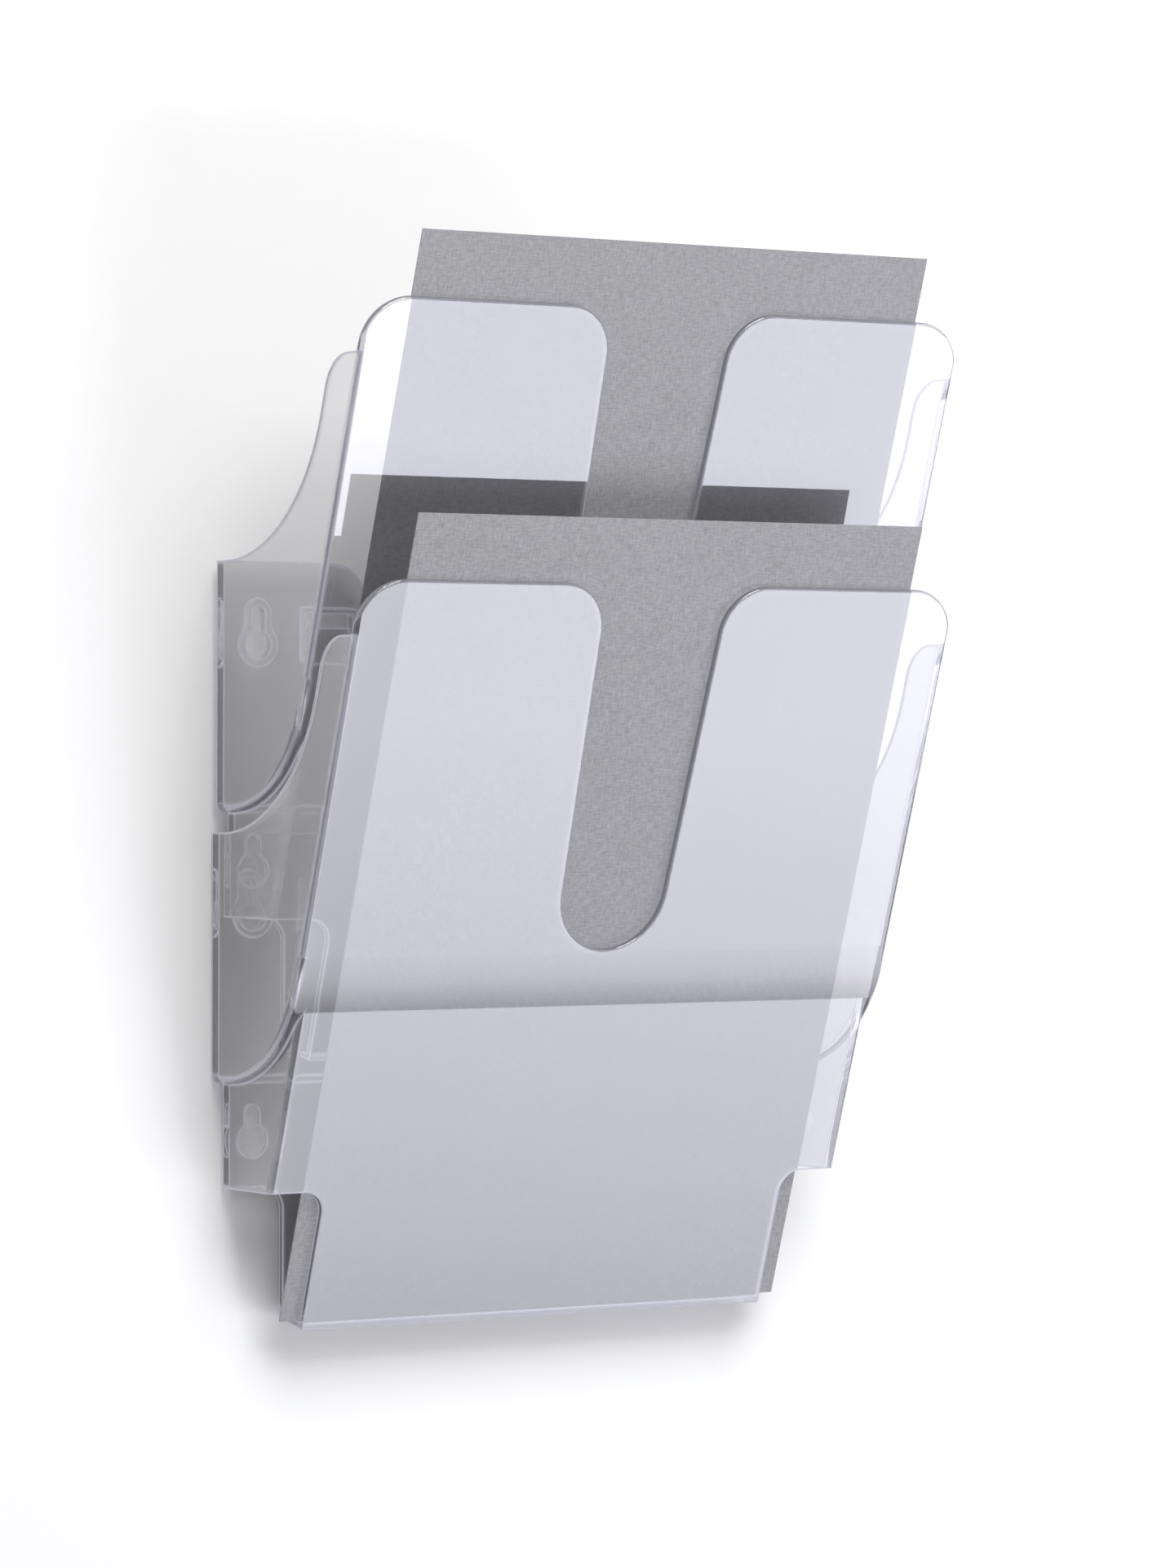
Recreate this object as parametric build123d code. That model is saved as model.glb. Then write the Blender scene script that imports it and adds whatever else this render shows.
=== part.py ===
from build123d import *
import math
import os

# Wall-hung leaflet holder: two identical clear moulded pockets clipped one above the other,
# each with one A4 sheet standing in it.
# Millimetres. X runs across the holder, +Y into the wall, +Z up. The wall is the plane Y = 0.
# The origin is the middle of the lower pocket's pair of wall-screw keyholes, on the wall.

os.makedirs("parts", exist_ok=True)

# Overall pocket
OUTER_HALF = 124.0        # half width of the upper shell
INNER_HALF = 120.0        # half width of the nesting lower shell
TONGUE_HALF = 97.2        # half width of the front and back tongues
WALL = 2.5                # side and front wall thickness
PLATE = 3.0               # wall plate thickness
JOGGLE = 1.1              # how far the lower shell's back stands off the wall plane
PITCH = 95.6              # upper pocket above lower pocket
STANDOFF = 3.15           # upper pocket stands this far in front of the lower one

# Heights, measured from the lower edge of the wall plate
PLATE_TOP = 88.1
HEEL = -0.5               # lower edge of the upper shell at the wall
SHELL_BOTTOM = -37.5      # where the side walls stop
FOOT_BACK = -84.0         # underside of the floor at the back
FOOT_FRONT = -87.4        # underside of the floor at the front
FLOOR = 2.5
CREASE = 26.5             # horizontal crease across the front panel
ROLL_TOP = 45.5           # the front starts to roll inward here
KEYHOLE_Z = 58.7          # keyhole circle of the wall plate, and the part's origin

# Front panel
TILT = 18.2               # degrees, top leans away from the wall
CORNER_Z = 156.3          # top front corner of the side walls
CORNER_DEPTH = 98.8
CORNER_R = 2.0            # rounding of the corners between front and sides
LEDGE_R = 3.0             # rounding of the upper shell's lower side edges
CREASE_STEP = 1.0         # how far the lower front stands behind the upper front
EAR_TOP = 223.4           # slope length from the side walls' lower edge to the ears' top
EAR_R = 18.0              # rounded corners of the ears
SLOT_HALF_TOP = 25.2      # finger slot between the ears, at its mouth
SLOT_R = 21.5             # full round bottom of the slot
RIM_R = 0.9               # rounding of the ears' and the slot's edges
SLOT_BOTTOM = 88.4        # slope length to the bottom of the slot

# Side wall top edge
SWEEP_R = 70.0
SWEEP_ANGLE = 72.0
SHOULDER_R = 16.0
SHOULDER_LINE = 9.2
SWEEP_START = 6.0

# Wall plate details
TAB_INNER = 65.5          # inner edge of the two upright tabs
TAB_R = 13.5
SADDLE_Z = 20.0           # top of the plate between the tabs
KEYHOLE_X = 107.8
KEYHOLE_R = 5.2
KEYHOLE_NECK = 2.6
KEYHOLE_RISE = 11.0
BOSS_RIM = 2.6
BOSS_HIGH = 1.0
LOW_KEY_Z = -20.9
LOW_KEY_R = 5.85
LOW_KEY_NECK = 2.7
LOW_KEY_RISE = 9.8
CATCH_X = 80.05           # snap catch beside each keyhole
CATCH_FRAME = (20.7, 19.8)
CATCH_FRAME_Z = 62.3
CATCH_SLOT = (16.7, 4.6)
CATCH_SLOT_Z = 67.7
SLIT = 0.9                # slits that free the spring tongue
RIB = (12.2, 3.65)        # rib of the upper pocket that clicks into the slot
RIB_GAP = 0.05

# Sheets, A4
SHEET = (210.0, 297.0, 0.5)
SHEET_GAP = 0.2           # clearance above the floor
SHEET_LEAN = 18.5         # degrees, a little more than the panel
LOWER_SHIFT = 0.1         # how far each sheet stands off the middle
UPPER_SHIFT = -0.4
SHEET_BACK = 0.95         # foot of the sheet behind the lower front panel

TAN = math.tan(math.radians(TILT))
COS = math.cos(math.radians(TILT))
SIN = math.sin(math.radians(TILT))
HUGE = 400.0              # reach of cutting bodies
OPEN_TOP = 200.0          # top of the hollow, above the ears


def front_depth(z, inset=0.0):
    """Distance from the wall of the upper front plane at height z, moved in by inset."""
    return CORNER_DEPTH - (CORNER_Z - z) * TAN - inset / COS


def low_depth(z, inset=0.0):
    return front_depth(z, inset + CREASE_STEP)


def side_solid(wires, half):
    """Fill a closed outline drawn in the YZ plane and thicken it to both sides of X = 0."""
    face = make_face(Plane.YZ * wires)
    return extrude(face, amount=half, both=True)


def front_and_heel(inset, back, top):
    """Front of the upper shell from a top point down, and its curved lower edge to the back."""
    roll_top = (-front_depth(ROLL_TOP, inset), ROLL_TOP)
    crease = (-low_depth(CREASE + inset, inset), CREASE + inset)
    heel = (-SWEEP_START, HEEL + inset)
    return [
        Line(top, roll_top),
        TangentArc(roll_top, crease, tangent=(SIN, -COS)),
        TangentArc(heel, crease, tangent=(-1, 0)),
        Line(heel, (-back, HEEL + inset)),
    ]


def upper_shell():
    """Body of the upper shell, its top edge sweeping from the wall plate up to the front."""
    sweep_start = (-SWEEP_START, PLATE_TOP)
    sweep = JernArc(sweep_start, (-1, 0), SWEEP_R, -SWEEP_ANGLE)
    rise = Line(sweep @ 1, sweep @ 1 + (sweep % 1) * SHOULDER_LINE)
    shoulder = JernArc(rise @ 1, rise % 1, SHOULDER_R, SWEEP_ANGLE)
    corner_z = (shoulder @ 1).Y
    corner = (-front_depth(corner_z), corner_z)
    outline = [Line((0, PLATE_TOP), sweep_start), sweep, rise, shoulder]
    outline += [Line(shoulder @ 1, corner)] + front_and_heel(0, 0, corner)
    return side_solid(Curve() + outline + [Line((0, HEEL), (0, PLATE_TOP))], OUTER_HALF)


def upper_hollow():
    """Space inside the upper shell, open at the top."""
    corner = (-front_depth(OPEN_TOP, WALL), OPEN_TOP)
    outline = front_and_heel(WALL, PLATE, corner)
    outline += [Polyline((-PLATE, HEEL + WALL), (-PLATE, OPEN_TOP), corner)]
    return side_solid(Curve() + outline, OUTER_HALF - WALL)


def low_block(half, back, inset, z_back, z_front, z_top):
    """Wedge behind the lower front plane between two heights."""
    outline = Polyline(
        (-back, z_back),
        (-back, z_top),
        (-low_depth(z_top, inset), z_top),
        (-low_depth(z_front, inset), z_front),
        (-back, z_back),
    )
    return side_solid(outline, half)


def keyhole(radius, neck, rise):
    """Keyhole outline, circle at the bottom and rounded neck above it."""
    bar = Pos(0, rise / 2) * Rectangle(2 * neck, rise)
    return Circle(radius) + bar + Pos(0, rise) * Circle(neck)


def on_plate(sketch, x, z, depth, thickness):
    """Stand a sketch up on the wall plate: extrude from depth toward the room."""
    plane = Plane(origin=(x, -depth, z), x_dir=(1, 0, 0), z_dir=(0, -1, 0))
    return extrude(plane * sketch, amount=thickness)


def panel_plane():
    """Plane of the front face, local Y up the slope from the side walls' lower edge."""
    foot = (0, -front_depth(SHELL_BOTTOM), SHELL_BOTTOM)
    return Plane(origin=foot, x_dir=(1, 0, 0), z_dir=(0, -COS, -SIN))


def front_top():
    """The panel above the roll: two ears with the finger slot between them, all edges rounded."""
    low = (ROLL_TOP - SHELL_BOTTOM) / COS
    lean = math.atan((SLOT_HALF_TOP - SLOT_R) / (EAR_TOP - SLOT_BOTTOM - SLOT_R))
    centre = SLOT_BOTTOM + SLOT_R
    touch = (SLOT_R * math.cos(lean), centre - SLOT_R * math.sin(lean))
    mouth = touch[0] + (EAR_TOP + 5 - touch[1]) * math.tan(lean)
    sketch = Pos(0, (low + EAR_TOP) / 2) * Rectangle(2 * OUTER_HALF, EAR_TOP - low)
    sketch -= Pos(0, centre) * Circle(SLOT_R)
    sketch -= make_face(Polyline(
        (-touch[0], touch[1]),
        touch,
        (mouth, EAR_TOP + 5),
        (-mouth, EAR_TOP + 5),
        (-touch[0], touch[1]),
    ))
    sketch = fillet([v for v in sketch.vertices() if v.Y > EAR_TOP - 0.1], EAR_R)
    panel = extrude(sketch, amount=-WALL)
    rims = [e for e in panel.edges()
            if abs(abs(e.center().Z + WALL / 2) - WALL / 2) < 0.01 and e.center().Y > low + 0.1]
    return panel_plane() * fillet(rims, RIM_R)


def front_gap():
    """Room for that panel in the upper shell, between the side walls."""
    low = (ROLL_TOP - SHELL_BOTTOM) / COS
    sketch = Pos(0, low + HUGE / 2) * Rectangle(2 * (OUTER_HALF - WALL), HUGE)
    return extrude(panel_plane() * sketch, amount=-WALL - 1)


def tongue_cut(sign):
    """Material beside the tongues: square cut with a concave rounded inner corner."""
    height = SHELL_BOTTOM - FOOT_FRONT + 20
    width = OUTER_HALF - TONGUE_HALF + 20
    block = Rectangle(width, height)
    corner = [v for v in block.vertices() if v.X < 0 and v.Y > 0]
    cut = Pos(TONGUE_HALF + width / 2, SHELL_BOTTOM - height / 2) * fillet(corner, 8.0)
    if sign < 0:
        cut = mirror(cut, about=Plane.YZ)
    return extrude(Plane.XZ * cut, amount=HUGE / 2, both=True)


def rounded_base():
    """Everything above the upper shell's curved lower edge, its two side edges rounded."""
    run = low_depth(CREASE) - SWEEP_START
    rise = CREASE - HEEL
    radius = (run * run + rise * rise) / (2 * rise)
    sweep = JernArc((-SWEEP_START, HEEL), (-1, 0), radius, -75)
    outline = Curve() + [
        Line((0, HEEL), (-SWEEP_START, HEEL)),
        sweep,
        Polyline(sweep @ 1, (-HUGE, (sweep @ 1).Y), (-HUGE, HUGE), (0, HUGE), (0, HEEL)),
    ]
    base = side_solid(outline, OUTER_HALF)
    edges = [e for e in base.edges() if e.geom_type == GeomType.CIRCLE]
    return fillet(edges, LEDGE_R)


def slope_prism(half, inset, radius):
    """Long prism up the slope whose two front corners are rounded, used to trim a body."""
    foot = (0, -front_depth(SHELL_BOTTOM, inset), SHELL_BOTTOM)
    section = Pos(0, HUGE / 2) * Rectangle(2 * half, HUGE)
    section = fillet([v for v in section.vertices() if v.Y < 1], radius)
    plane = Plane(origin=foot, x_dir=(1, 0, 0), z_dir=(0, -SIN, COS))
    return extrude(plane * section, amount=HUGE, both=True)


def make_pocket():
    body = (upper_shell() & rounded_base()) - front_gap()
    body = body & slope_prism(OUTER_HALF, 0, CORNER_R)
    low = low_block(INNER_HALF, JOGGLE, 0.0, SHELL_BOTTOM, SHELL_BOTTOM, CREASE)
    low += low_block(INNER_HALF, JOGGLE, 0.0, FOOT_BACK, FOOT_FRONT, SHELL_BOTTOM + 1)
    body += low & slope_prism(INNER_HALF, CREASE_STEP, CORNER_R)

    inner_r = CORNER_R - 0.5
    body -= upper_hollow() & slope_prism(OUTER_HALF - WALL, WALL, inner_r)
    hollow = low_block(INNER_HALF - WALL, JOGGLE + WALL, WALL, SHELL_BOTTOM - 5,
                       SHELL_BOTTOM - 5, CREASE + 8)
    body -= hollow & slope_prism(INNER_HALF - WALL, CREASE_STEP + WALL, inner_r)
    body -= low_block(HUGE, JOGGLE + WALL, WALL, FOOT_BACK + FLOOR, FOOT_FRONT + FLOOR,
                      SHELL_BOTTOM)
    body += front_top() & slope_prism(OUTER_HALF, 0, CORNER_R)
    for sign in (-1, 1):
        body -= tongue_cut(sign)

    # The plate between the two tabs stops low, so the sheet's back is free
    saddle = Pos(0, (SADDLE_Z + HUGE) / 2) * Rectangle(2 * TAB_INNER, HUGE - SADDLE_Z)
    saddle = fillet([v for v in saddle.vertices() if v.Y < HUGE / 2], TAB_R)
    body -= on_plate(saddle, 0, 0, -1, PLATE + 1)

    for side in (-1, 1):
        crown = Rectangle(2 * TAB_R, 2 * TAB_R) - Circle(TAB_R)
        crown -= Pos(side * TAB_R, 0) * Rectangle(2 * TAB_R, 4 * TAB_R)
        crown -= Pos(0, -TAB_R) * Rectangle(4 * TAB_R, 2 * TAB_R)
        body -= on_plate(crown, side * (TAB_INNER + TAB_R), PLATE_TOP - TAB_R, -1, PLATE + 1)
        body = add_plate_details(body, side)
    return body


def add_plate_details(body, side):
    """Keyholes, raised rims, the snap catch of the pocket above and the rib that fits it."""
    x = side * KEYHOLE_X
    rim = keyhole(KEYHOLE_R + BOSS_RIM, KEYHOLE_NECK + BOSS_RIM, KEYHOLE_RISE)
    body += on_plate(rim, x, KEYHOLE_Z, PLATE - 0.5, BOSS_HIGH + 0.5)
    body -= on_plate(keyhole(KEYHOLE_R, KEYHOLE_NECK, KEYHOLE_RISE), x, KEYHOLE_Z, -1, 8)
    body -= on_plate(keyhole(LOW_KEY_R, LOW_KEY_NECK, LOW_KEY_RISE), x, LOW_KEY_Z, -1, 6)

    x = side * CATCH_X
    frame = RectangleRounded(CATCH_FRAME[0], CATCH_FRAME[1], 1.5)
    body += on_plate(frame, x, CATCH_FRAME_Z, PLATE - 0.5, BOSS_HIGH + 0.5)
    cut = Pos(0, CATCH_SLOT_Z) * Rectangle(*CATCH_SLOT)
    slit_top = CATCH_SLOT_Z - CATCH_SLOT[1] / 2
    slit_low = CATCH_FRAME_Z - CATCH_FRAME[1] / 2 + 1.6
    for edge in (-1, 1):
        slit_x = edge * (CATCH_SLOT[0] - SLIT) / 2
        cut += Pos(slit_x, (slit_top + slit_low) / 2) * Rectangle(SLIT, slit_top - slit_low)
    body -= on_plate(cut, x, 0, -1, 8)
    rib_top = CATCH_SLOT_Z + CATCH_SLOT[1] / 2 - PITCH - RIB_GAP
    rib = Pos(0, rib_top - RIB[1] / 2) * Rectangle(*RIB)
    return body + on_plate(rib, x, 0, 0, JOGGLE + 0.5)


def make_sheet(shift):
    """A4 sheet with its foot just above the floor, leaning on the inside of the front panel."""
    width, length, thick = SHEET
    rise = (FOOT_BACK - FOOT_FRONT) / (low_depth(FOOT_FRONT) - JOGGLE - 2 * WALL)
    z = FOOT_FRONT + FLOOR + rise * (SHEET_BACK + thick) + SHEET_GAP
    depth = low_depth(z, WALL + SHEET_BACK)
    lean = math.radians(SHEET_LEAN)
    normal = (0, -math.cos(lean), -math.sin(lean))
    plane = Plane(origin=(shift, -depth, z), x_dir=(1, 0, 0), z_dir=normal)
    return extrude(plane * Pos(0, length / 2) * Rectangle(width, length), amount=-thick)


pocket = make_pocket()
lower = Pos(0, 0, -KEYHOLE_Z)
upper = Pos(0, -STANDOFF, PITCH - KEYHOLE_Z)
nodes = {
    "lower_pocket": lower * pocket,
    "upper_pocket": upper * pocket,
    "lower_sheet": lower * make_sheet(LOWER_SHIFT),
    "upper_sheet": upper * make_sheet(UPPER_SHIFT),
}
for name, shape in nodes.items():
    export_step(Part() + shape, f"parts/{name}.step")
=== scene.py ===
import math

import bpy
from mathutils import Matrix, Vector

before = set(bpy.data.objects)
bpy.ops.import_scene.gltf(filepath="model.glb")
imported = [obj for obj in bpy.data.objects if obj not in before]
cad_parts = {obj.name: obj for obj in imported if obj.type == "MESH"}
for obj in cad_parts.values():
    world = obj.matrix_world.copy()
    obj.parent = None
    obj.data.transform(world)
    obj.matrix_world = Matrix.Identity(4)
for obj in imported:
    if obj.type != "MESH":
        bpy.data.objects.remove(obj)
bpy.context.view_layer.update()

# The holder hangs on a wall, so the stage is a wall just behind it.
WALL_Y = 0.0012
WALL_HALF = 3.0
WALL_WHITE = (0.93, 0.93, 0.93, 1.0)

# Camera: its place, its direction and its focal length, from the object's known sizes
CAMERA_AT = Vector((-1.07217, -1.72287, 0.06021))
CAMERA_YAW = math.radians(32.587)
CAMERA_PITCH = math.radians(0.394)
CAMERA_ROLL = math.radians(0.14)
SENSOR = 36.0
LENS = 127.91
NEAR_CLIP = 0.05

# Clear polystyrene. Lamp light loses a fixed share at each surface, for the dark side plates.
PLASTIC_IOR = 1.56
WALL_PASSES = (0.72, 0.715, 0.725, 1.0)
SURFACE_PASSES = (0.60, 0.60, 0.61, 1.0)
RIPPLES_PER_METRE = 9.0
RIPPLE_STRENGTH = 0.02
RIPPLE_HEIGHT = 0.002
EDGE_ROUND = 0.0006

# Painted glow and sheen on the moulded edges: a rim starts where a wide bevel turns the normal
# by about 2 degrees.
RIM_WIDTH = 0.0016
RIM_STARTS = 0.9995
RIM_FULL = 0.93
PAINTED_RIM_SHARE = 0.8
PAINTED_EDGE_GLOW = 0.52
PAINTED_SHEEN_SHARE = 0.25
PAINTED_GLOW_COLOUR = (0.88, 0.87, 1.0, 1.0)
PAINTED_SHEEN_COLOUR = (0.86, 0.85, 0.97, 1.0)

# Inside the plastic: a violet tint that deepens along long paths, and a painted glow for the
# light they carry
TINT_DENSITY = 9.0
TINT_COLOUR = (0.70, 0.68, 0.90, 1.0)
PAINTED_INNER_GLOW = 3.8
PAINTED_INNER_GLOW_COLOUR = (0.86, 0.85, 1.0, 1.0)

# Linen card: how often the weave varies per metre, across a thread and along it
ACROSS_THREAD = 1900.0
ALONG_THREAD = 300.0
MOTTLE_SCALE = 60.0
MOTTLE_SHARE = 0.08
WEAVE_TONES = ((0.37, (0.283, 0.281, 0.295, 1.0)), (0.63, (0.413, 0.410, 0.429, 1.0)))
WEAVE_STRENGTH = 0.25
WEAVE_HEIGHT = 0.0003

# Soft lamps around the lit point: metres aside along X, degrees above the horizon and so on
LIT_POINT = Vector((0.0, -0.05, 0.04))
KEY = dict(aside=-0.15, slope=47.0, away=2.4, width=1.5, height=1.6, radiance=8.3)
LOW_FRONT = dict(aside=1.7, slope=-33.3, away=2.2, width=2.2, height=1.5, radiance=5.2)
REAR = dict(aside=-0.4, slope=155.0, away=2.2, width=1.6, height=1.6, radiance=0.6)
COOL_WHITE = (0.90, 0.905, 1.0)
SOFTBOX_FADE = ((0.0, (0.25, 0.25, 0.25, 1.0)), (0.20, (0.68, 0.68, 0.68, 1.0)),
                (0.46, (1.0, 1.0, 1.0, 1.0)))
SKY_STRENGTH = 0.27

# A view through both pockets crosses many clear surfaces.
LIGHT_BOUNCES = 24


def new_material(name):
    material = bpy.data.materials.new(name)
    material.use_nodes = True
    material.node_tree.nodes.clear()
    return material, material.node_tree.nodes, material.node_tree.links


def add(nodes, kind, **values):
    """A node with its plain inputs and properties set."""
    node = nodes.new(kind)
    for key, value in values.items():
        name = key.replace("_", " ")
        if name in node.inputs:
            node.inputs[name].default_value = value
        else:
            setattr(node, key, value)
    return node


def add_ramp(nodes, stops):
    """A colour ramp through the given places and their colours."""
    ramp = add(nodes, "ShaderNodeValToRGB")
    while len(ramp.color_ramp.elements) < len(stops):
        ramp.color_ramp.elements.new(0.5)
    for element, (place, colour) in zip(ramp.color_ramp.elements, stops):
        element.position = place
        element.color = colour
    return ramp


def polished_glass(nodes, links):
    """The clear surface, its edges a little round and its faces very slightly uneven."""
    glass = add(nodes, "ShaderNodeBsdfPrincipled", Base_Color=WALL_PASSES, Roughness=0.0,
                IOR=PLASTIC_IOR, Transmission_Weight=1.0,
                Coat_Weight=1.0, Coat_Roughness=0.0, Coat_IOR=PLASTIC_IOR)
    coords = add(nodes, "ShaderNodeTexCoord")
    ripple = add(nodes, "ShaderNodeTexNoise", Scale=RIPPLES_PER_METRE, Detail=1.0, Roughness=0.4)
    bump = add(nodes, "ShaderNodeBump", Strength=RIPPLE_STRENGTH, Distance=RIPPLE_HEIGHT)
    soft = add(nodes, "ShaderNodeBevel", Radius=EDGE_ROUND, samples=4)
    links.new(coords.outputs["Object"], ripple.inputs["Vector"])
    links.new(ripple.outputs["Fac"], bump.inputs["Height"])
    links.new(soft.outputs["Normal"], bump.inputs["Normal"])
    links.new(bump.outputs["Normal"], glass.inputs["Normal"])
    return glass


def with_painted_rim_glow(nodes, links, glass):
    """The glass, turning to a painted glow and painted sheen where a bevelled normal leaves the
    face's own.
    """
    rim = add(nodes, "ShaderNodeBevel", Radius=RIM_WIDTH, samples=6)
    face = add(nodes, "ShaderNodeNewGeometry")
    along = add(nodes, "ShaderNodeVectorMath", operation="DOT_PRODUCT")
    share = add(nodes, "ShaderNodeMapRange",
                From_Min=RIM_STARTS, From_Max=RIM_FULL, To_Max=PAINTED_RIM_SHARE)
    # Painted glow and painted sheen on the rims, standing in for the light the edges catch
    painted_glow = add(nodes, "ShaderNodeEmission", Color=PAINTED_GLOW_COLOUR, Strength=PAINTED_EDGE_GLOW)
    painted_sheen = add(nodes, "ShaderNodeBsdfDiffuse", Color=PAINTED_SHEEN_COLOUR)
    painted_rim = add(nodes, "ShaderNodeMixShader")
    painted_rim.inputs[0].default_value = PAINTED_SHEEN_SHARE
    painted_rim_glass = add(nodes, "ShaderNodeMixShader")
    links.new(rim.outputs["Normal"], along.inputs[0])
    links.new(face.outputs["Normal"], along.inputs[1])
    links.new(along.outputs["Value"], share.inputs["Value"])
    links.new(painted_glow.outputs[0], painted_rim.inputs[1])
    links.new(painted_sheen.outputs[0], painted_rim.inputs[2])
    links.new(share.outputs[0], painted_rim_glass.inputs[0])
    links.new(glass.outputs[0], painted_rim_glass.inputs[1])
    links.new(painted_rim.outputs[0], painted_rim_glass.inputs[2])
    return painted_rim_glass


def tint_and_painted_glow(nodes, links):
    """The tint of long paths through the plastic, with a painted glow for the light that they
    carry.
    """
    tint = add(nodes, "ShaderNodeVolumeAbsorption", Color=TINT_COLOUR, Density=TINT_DENSITY)
    # Painted glow: emission inside the plastic for the light it carries
    painted_glow_inside = add(nodes, "ShaderNodeEmission", Color=PAINTED_INNER_GLOW_COLOUR, Strength=PAINTED_INNER_GLOW)
    both = add(nodes, "ShaderNodeAddShader")
    links.new(tint.outputs[0], both.inputs[0])
    links.new(painted_glow_inside.outputs[0], both.inputs[1])
    return both


def clear_plastic():
    """Polished clear polystyrene that lets lamps shine through it, with painted glow at its
    edges and inside.
    """
    material, nodes, links = new_material("clear_polystyrene")
    out = add(nodes, "ShaderNodeOutputMaterial")
    painted_rim_glass = with_painted_rim_glow(nodes, links, polished_glass(nodes, links))
    lamp = add(nodes, "ShaderNodeBsdfTransparent", Color=SURFACE_PASSES)
    path = add(nodes, "ShaderNodeLightPath")
    mix = add(nodes, "ShaderNodeMixShader")
    links.new(path.outputs["Is Shadow Ray"], mix.inputs[0])
    links.new(painted_rim_glass.outputs[0], mix.inputs[1])
    links.new(lamp.outputs[0], mix.inputs[2])
    links.new(mix.outputs[0], out.inputs["Surface"])
    links.new(tint_and_painted_glow(nodes, links).outputs[0], out.inputs["Volume"])
    return material


def mixed(nodes, links, share, first, second):
    """Two values mixed, with the given share of the second."""
    mix = add(nodes, "ShaderNodeMix", data_type="FLOAT")
    mix.inputs[0].default_value = share
    links.new(first, mix.inputs[2])
    links.new(second, mix.inputs[3])
    return mix.outputs[0]


def linen_card():
    """Grey card embossed with a fine linen weave, a little mottled."""
    material, nodes, links = new_material("grey_linen_card")
    out = add(nodes, "ShaderNodeOutputMaterial")
    card = add(nodes, "ShaderNodeBsdfPrincipled", Roughness=0.85, Specular_IOR_Level=0.25)
    coords = add(nodes, "ShaderNodeTexCoord")
    threads = []
    for stretch in ((ACROSS_THREAD, 1.0, ALONG_THREAD), (ALONG_THREAD, 1.0, ACROSS_THREAD)):
        mapping = add(nodes, "ShaderNodeMapping", Scale=stretch)
        noise = add(nodes, "ShaderNodeTexNoise", Scale=1.0, Detail=2.0, Roughness=0.6)
        links.new(coords.outputs["Object"], mapping.inputs["Vector"])
        links.new(mapping.outputs["Vector"], noise.inputs["Vector"])
        threads.append(noise.outputs["Fac"])
    mottle = add(nodes, "ShaderNodeTexNoise", Scale=MOTTLE_SCALE, Detail=4.0, Roughness=0.6)
    links.new(coords.outputs["Object"], mottle.inputs["Vector"])
    weave = mixed(nodes, links, 0.5, *threads)
    height = mixed(nodes, links, MOTTLE_SHARE, weave, mottle.outputs["Fac"])
    tone = add_ramp(nodes, WEAVE_TONES)
    bump = add(nodes, "ShaderNodeBump", Strength=WEAVE_STRENGTH, Distance=WEAVE_HEIGHT)
    links.new(height, tone.inputs["Fac"])
    links.new(height, bump.inputs["Height"])
    links.new(tone.outputs["Color"], card.inputs["Base Color"])
    links.new(bump.outputs["Normal"], card.inputs["Normal"])
    links.new(card.outputs[0], out.inputs["Surface"])
    return material


def wall_paint():
    """White wall, seen only from the room side, and no screen to lamps."""
    material, nodes, links = new_material("white_wall")
    out = add(nodes, "ShaderNodeOutputMaterial")
    paint = add(nodes, "ShaderNodeBsdfDiffuse", Color=WALL_WHITE, Roughness=0.5)
    clear = add(nodes, "ShaderNodeBsdfTransparent")
    path = add(nodes, "ShaderNodeLightPath")
    side = add(nodes, "ShaderNodeNewGeometry")
    either = add(nodes, "ShaderNodeMath", operation="MAXIMUM")
    mix = add(nodes, "ShaderNodeMixShader")
    links.new(path.outputs["Is Shadow Ray"], either.inputs[0])
    links.new(side.outputs["Backfacing"], either.inputs[1])
    links.new(either.outputs[0], mix.inputs[0])
    links.new(paint.outputs[0], mix.inputs[1])
    links.new(clear.outputs[0], mix.inputs[2])
    links.new(mix.outputs[0], out.inputs["Surface"])
    return material


def add_wall():
    mesh = bpy.data.meshes.new("wall")
    h = WALL_HALF
    corners = [(-h, WALL_Y, -h), (h, WALL_Y, -h), (h, WALL_Y, h), (-h, WALL_Y, h)]
    mesh.from_pydata(corners, [], [(0, 1, 2, 3)])
    wall = bpy.data.objects.new("wall", mesh)
    bpy.context.scene.collection.objects.link(wall)
    wall.data.materials.append(wall_paint())


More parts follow.
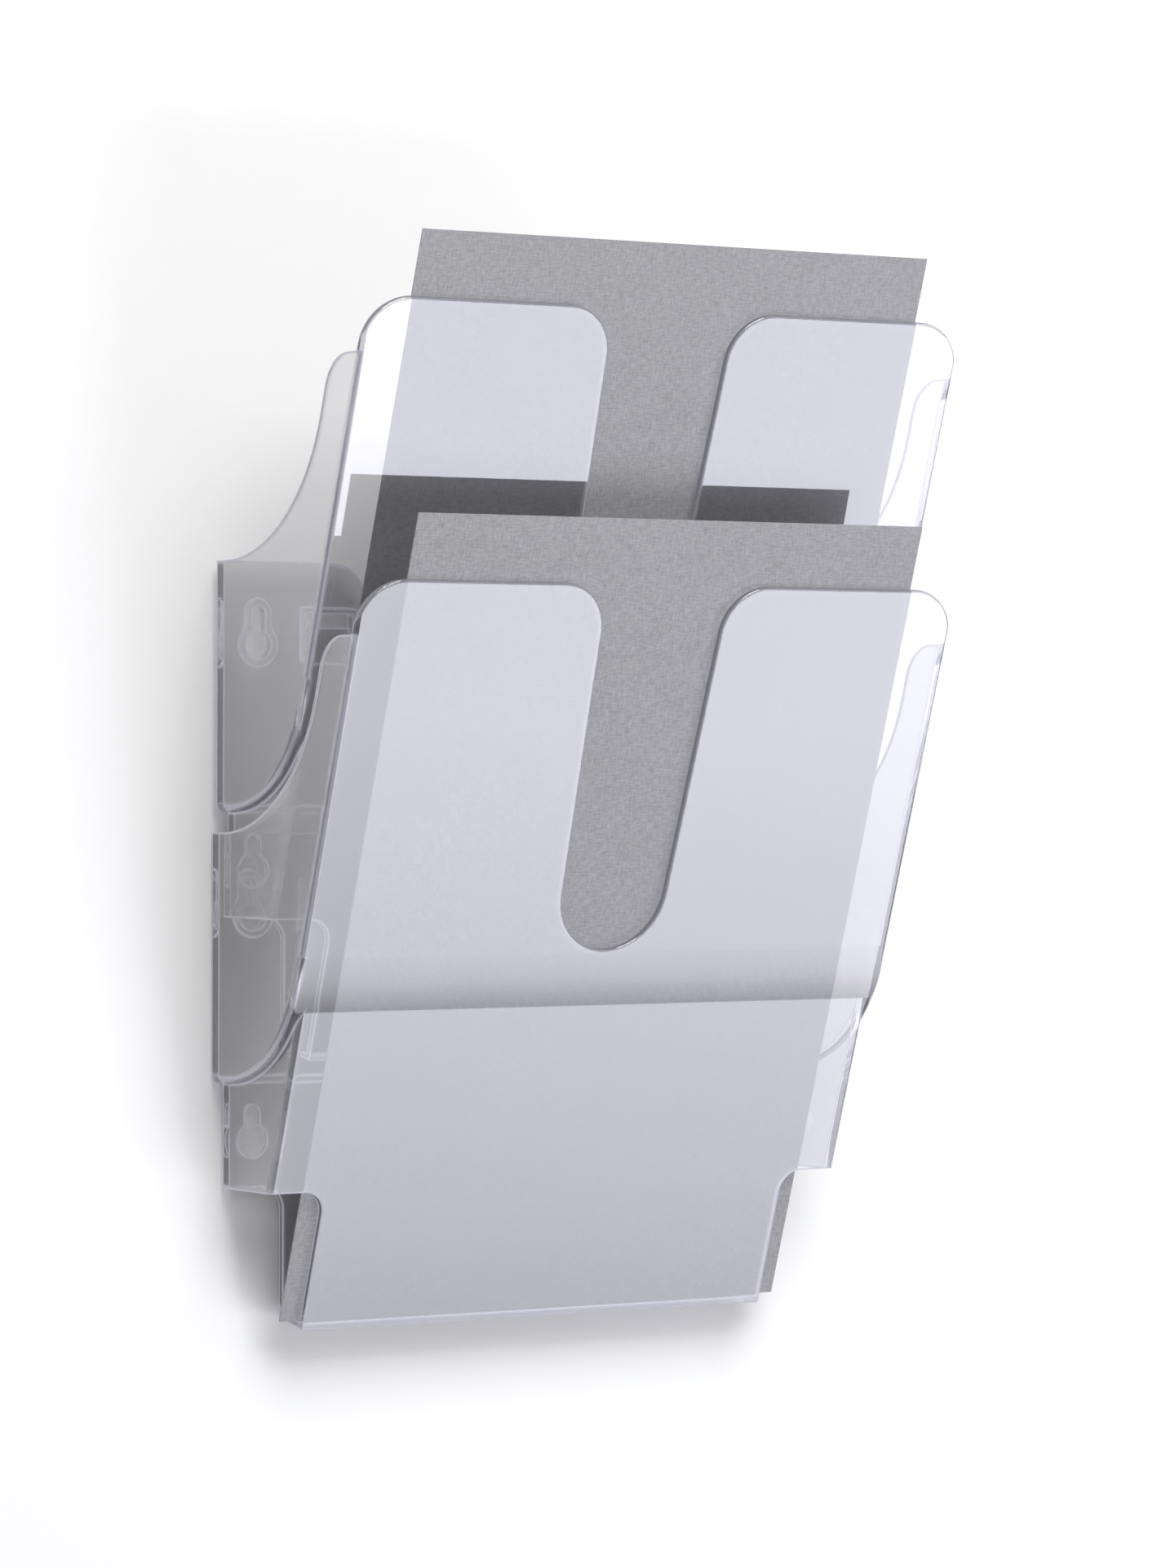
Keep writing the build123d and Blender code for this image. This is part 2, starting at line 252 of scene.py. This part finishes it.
def add_camera():
    fwd = Vector((math.sin(CAMERA_YAW) * math.cos(CAMERA_PITCH),
                  math.cos(CAMERA_YAW) * math.cos(CAMERA_PITCH), -math.sin(CAMERA_PITCH)))
    right = Vector((math.cos(CAMERA_YAW), -math.sin(CAMERA_YAW), 0.0))
    up = right.cross(fwd)
    turned_right = right * math.cos(CAMERA_ROLL) + up * math.sin(CAMERA_ROLL)
    turned_up = up * math.cos(CAMERA_ROLL) - right * math.sin(CAMERA_ROLL)
    axes = Matrix((turned_right, turned_up, -fwd)).transposed()
    data = bpy.data.cameras.new("camera")
    data.sensor_width = SENSOR
    data.lens = LENS
    data.clip_start = NEAR_CLIP
    camera = bpy.data.objects.new("camera", data)
    camera.matrix_world = Matrix.Translation(CAMERA_AT) @ axes.to_4x4()
    bpy.context.scene.collection.objects.link(camera)
    bpy.context.scene.camera = camera


def add_softbox(name, aside, slope, away, width, height, radiance):
    """A soft lamp level with the wall's X axis, turned to face the lit point before it is
    moved aside."""
    out = Vector((0.0, -math.cos(math.radians(slope)), math.sin(math.radians(slope))))
    data = bpy.data.lights.new(name, "AREA")
    data.shape = "RECTANGLE"
    data.size = width
    data.size_y = height
    data.energy = radiance * math.pi * width * height
    lamp = bpy.data.objects.new(name, data)
    lamp.location = LIT_POINT + out * away + Vector((aside, 0.0, 0.0))
    lamp.rotation_euler = (-out).to_track_quat("-Z", "Y").to_euler()
    lamp.visible_camera = False
    lamp.visible_transmission = False
    bpy.context.scene.collection.objects.link(lamp)
    return data


def fade_downwards(lamp):
    """Dims a lamp towards its lower edge, as the foot of a softbox does."""
    lamp.use_nodes = True
    nodes, links = lamp.node_tree.nodes, lamp.node_tree.links
    place = add(nodes, "ShaderNodeNewGeometry")
    split = add(nodes, "ShaderNodeSeparateXYZ")
    fade = add_ramp(nodes, SOFTBOX_FADE)
    links.new(place.outputs["Parametric"], split.inputs[0])
    links.new(split.outputs["Y"], fade.inputs["Fac"])
    links.new(fade.outputs["Color"], nodes["Emission"].inputs["Strength"])


def add_lamps():
    add_softbox("key", **KEY)
    low_front = add_softbox("low_front", **LOW_FRONT)
    low_front.color = COOL_WHITE
    fade_downwards(low_front)
    add_softbox("rear", **REAR)


def add_world():
    world = bpy.data.worlds.new("studio")
    bpy.context.scene.world = world
    world.use_nodes = True
    sky = world.node_tree.nodes["Background"]
    sky.inputs["Color"].default_value = (1.0, 1.0, 1.0, 1.0)
    sky.inputs["Strength"].default_value = SKY_STRENGTH


plastic = clear_plastic()
card = linen_card()
for name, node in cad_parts.items():
    node.data.materials.clear()
    node.data.materials.append(card if "sheet" in name else plastic)

add_wall()
add_camera()
add_world()
add_lamps()

bpy.context.scene.cycles.max_bounces = LIGHT_BOUNCES
bpy.context.scene.cycles.transmission_bounces = LIGHT_BOUNCES
bpy.context.scene.view_settings.view_transform = "Standard"
